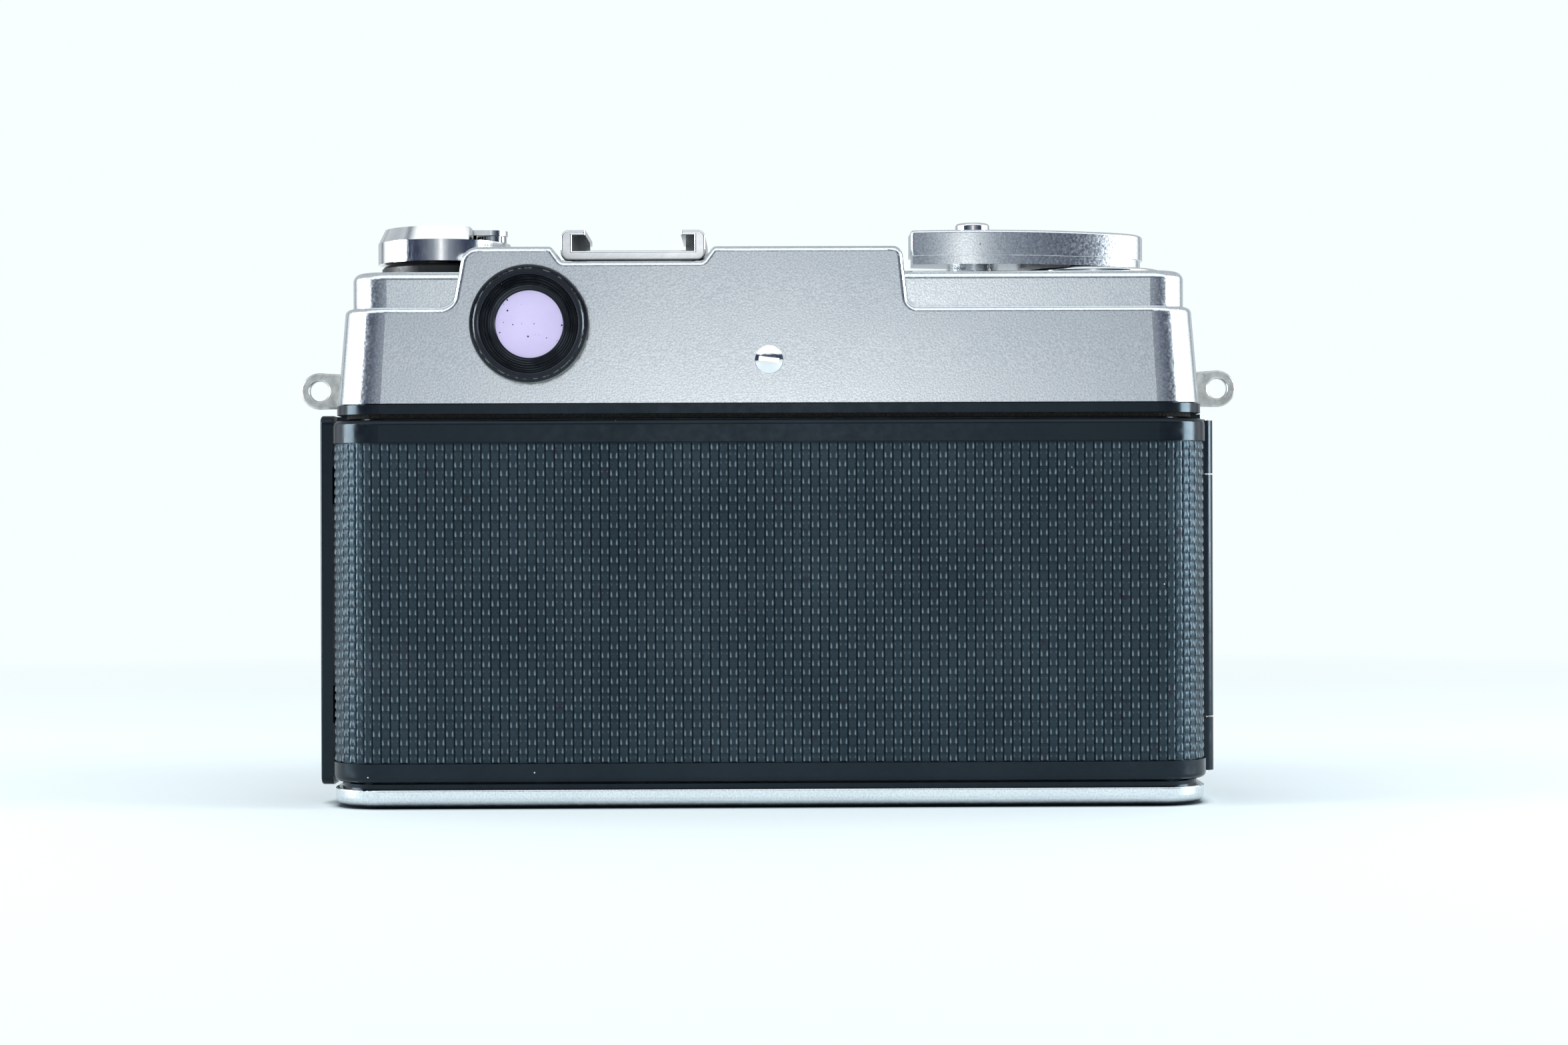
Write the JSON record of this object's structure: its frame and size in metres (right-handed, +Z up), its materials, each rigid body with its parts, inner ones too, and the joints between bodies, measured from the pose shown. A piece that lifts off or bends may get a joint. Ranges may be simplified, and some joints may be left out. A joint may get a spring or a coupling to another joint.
{
  "type": "rangefinder film camera",
  "caption": "35 mm rangefinder film camera with a fixed lens, satin chrome covers, black leatherette, hinged film door, wind lever, folding rewind crank and a tripod socket.",
  "frame": {"origin": "centre of the tripod socket's mouth, in the plane of the base, under the lens axis", "axes": "+X towards the rewind end, +Y towards the film door and eyepiece, -Y out of the lens, +Z up"},
  "size_m": [0.1464, 0.0614, 0.0904],
  "materials": {
    "satin_chrome": "satin, fine pearl grain",
    "polished_chrome": "polished",
    "black_paint": "gloss",
    "leatherette": "embossed basket weave, semi-gloss",
    "black_anodised": "satin black",
    "black_plastic": "matte",
    "steel": "brushed",
    "spring_steel": "bright",
    "foam": "open-cell foam",
    "dial_white": "satin",
    "coated_glass": "lilac anti-reflection coat",
    "clear_glass": "clear",
    "frosted_window": "frosted",
    "mirror": "silvered"
  },
  "bodies": {
    "root": {"body_casting": "black_paint", "front_leatherette": "leatherette", "light_seals": "foam", "bottom_cover": "satin_chrome", "bottom_cover_screws": "polished_chrome", "tripod_socket": "steel", "top_cover": "satin_chrome", "top_cover_screws": "polished_chrome", "strap_lugs": "steel", "eyepiece_ring": "black_anodised", "eyepiece_glass": "coated_glass", "window_bezel": "black_paint", "viewfinder_window": "clear_glass", "frameline_window": "frosted_window", "rangefinder_window": "clear_glass", "finder_frame": "black_plastic", "beam_splitter": "clear_glass", "rangefinder_mirror": "mirror", "accessory_shoe": "polished_chrome", "shoe_screws": "steel", "wind_platform": "polished_chrome", "counter_post": "steel", "counter_window": "clear_glass", "button_collar": "polished_chrome", "button_spring": "spring_steel", "rewind_collar": "black_anodised", "body_hinge_leaf": "black_paint", "hinge_pin": "steel", "sync_socket": "polished_chrome", "lens_base": "satin_chrome"},
    "door": {"back_door": "black_paint", "door_leatherette": "leatherette", "door_hinge_leaf": "black_paint", "pressure_spring": "spring_steel"},
    "pressure_plate": {"pressure_plate": "black_anodised"},
    "latch": {"latch_bar": "black_paint"},
    "wind_lever": {"wind_lever": "satin_chrome", "wind_shaft": "steel", "lever_screw": "polished_chrome"},
    "take_up_spool": {"take_up_spool": "black_plastic"},
    "sprocket": {"sprocket": "steel"},
    "counter_dial": {"counter_dial": "dial_white"},
    "release_button": {"release_button": "polished_chrome"},
    "rewind_release_button": {"rewind_release_button": "polished_chrome"},
    "rewind_sleeve": {"rewind_sleeve": "steel"},
    "rewind_knob": {"rewind_knob": "polished_chrome", "rewind_shaft": "steel", "crank_pin": "steel"},
    "rewind_crank": {"rewind_crank": "polished_chrome"},
    "crank_handle": {"crank_handle": "polished_chrome"},
    "focus_ring": {"focus_ring": "satin_chrome"},
    "lens_unit": {"lens_barrel": "black_anodised", "front_bezel": "black_anodised", "front_element": "coated_glass", "rear_element": "coated_glass", "shutter_blades": "black_anodised", "aperture_blades": "black_anodised"},
    "aperture_ring": {"aperture_ring": "satin_chrome"},
    "shutter_speed_ring": {"shutter_speed_ring": "satin_chrome"},
    "selector_lever": {"selector_lever": "polished_chrome"}
  },
  "joints": [
    {"name": "door_hinge", "type": "hinge", "parent": "root", "child": "door", "pos_m": [-0.0674, 0.005, 0.0315], "axis": [0, 0, 1], "range_deg": [0, 110]},
    {"name": "pressure_plate_float", "type": "slide", "parent": "door", "child": "pressure_plate", "axis": [0, 1, 0], "range_m": [0, 0.0008], "stiffness_N_per_m": 400, "springref_m": -0.001},
    {"name": "latch_slide", "type": "slide", "parent": "root", "child": "latch", "axis": [0, 0, 1], "range_m": [0, 0.0025], "stiffness_N_per_m": 200, "springref_m": -0.002},
    {"name": "wind_lever_turn", "type": "hinge", "parent": "root", "child": "wind_lever", "pos_m": [-0.0504, 0, 0.085], "axis": [0, 0, 1], "range_deg": [0, 150], "stiffness_Nm_per_rad": 0.01, "springref_deg": -17.19},
    {"name": "take_up_turn", "type": "hinge", "parent": "root", "child": "take_up_spool", "pos_m": [-0.0504, 0, 0.0315], "axis": [0, 0, 1], "range_deg": [0, 346]},
    {"name": "sprocket_turn", "type": "hinge", "parent": "root", "child": "sprocket", "pos_m": [-0.0335, 0.00545, 0.0315], "axis": [0, 0, 1], "range_deg": [0, 361]},
    {"name": "counter_turn", "type": "hinge", "parent": "root", "child": "counter_dial", "pos_m": [-0.0143, -0.002, 0.0833], "axis": [0, 0, 1], "range_deg": [0, 9.5]},
    {"name": "release_press", "type": "slide", "parent": "root", "child": "release_button", "axis": [0, 0, -1], "range_m": [0, 0.0025], "stiffness_N_per_m": 300, "springref_m": -0.001, "deforming": ["button_spring"]},
    {"name": "rewind_release_press", "type": "slide", "parent": "root", "child": "rewind_release_button", "axis": [0, 0, 1], "range_m": [0, 0.0015], "stiffness_N_per_m": 300, "springref_m": -0.001},
    {"name": "rewind_spin", "type": "hinge", "parent": "root", "child": "rewind_sleeve", "pos_m": [0.0508, 0, 0.081], "axis": [0, 0, 1], "continuous": true},
    {"name": "rewind_lift", "type": "slide", "parent": "rewind_sleeve", "child": "rewind_knob", "axis": [0, 0, 1], "range_m": [0, 0.0085]},
    {"name": "crank_fold", "type": "hinge", "parent": "rewind_knob", "child": "rewind_crank", "pos_m": [0.0543, 0, 0.0879], "axis": [0, 1, 0], "range_deg": [0, 180]},
    {"name": "crank_handle_spin", "type": "hinge", "parent": "rewind_crank", "child": "crank_handle", "pos_m": [0.0434, 0, 0.0875], "axis": [0, 0, 1], "continuous": true},
    {"name": "focus_turn", "type": "hinge", "parent": "root", "child": "focus_ring", "pos_m": [0, -0.023, 0.0315], "axis": [0, -1, 0], "range_deg": [0, 101]},
    {"name": "lens_extend", "type": "slide", "parent": "root", "child": "lens_unit", "axis": [0, -1, 0], "range_m": [0, 0.0032]},
    {"name": "aperture_turn", "type": "hinge", "parent": "lens_unit", "child": "aperture_ring", "pos_m": [0, -0.03, 0.0315], "axis": [0, -1, 0], "range_deg": [0, 90]},
    {"name": "shutter_speed_turn", "type": "hinge", "parent": "lens_unit", "child": "shutter_speed_ring", "pos_m": [0, -0.0335, 0.0315], "axis": [0, -1, 0], "range_deg": [0, 120]},
    {"name": "selector_turn", "type": "hinge", "parent": "lens_unit", "child": "selector_lever", "pos_m": [0, -0.036, 0.0315], "axis": [0, -1, 0], "range_deg": [0, 50]}
  ],
  "couplings": [
    {"joint": "take_up_turn", "follows": "wind_lever_turn", "ratio": 2.3},
    {"joint": "sprocket_turn", "follows": "wind_lever_turn", "ratio": 2.4},
    {"joint": "counter_turn", "follows": "wind_lever_turn", "ratio": 0.06},
    {"joint": "focus_turn", "follows": "lens_extend", "rad_per_m": 545.5}
  ]
}
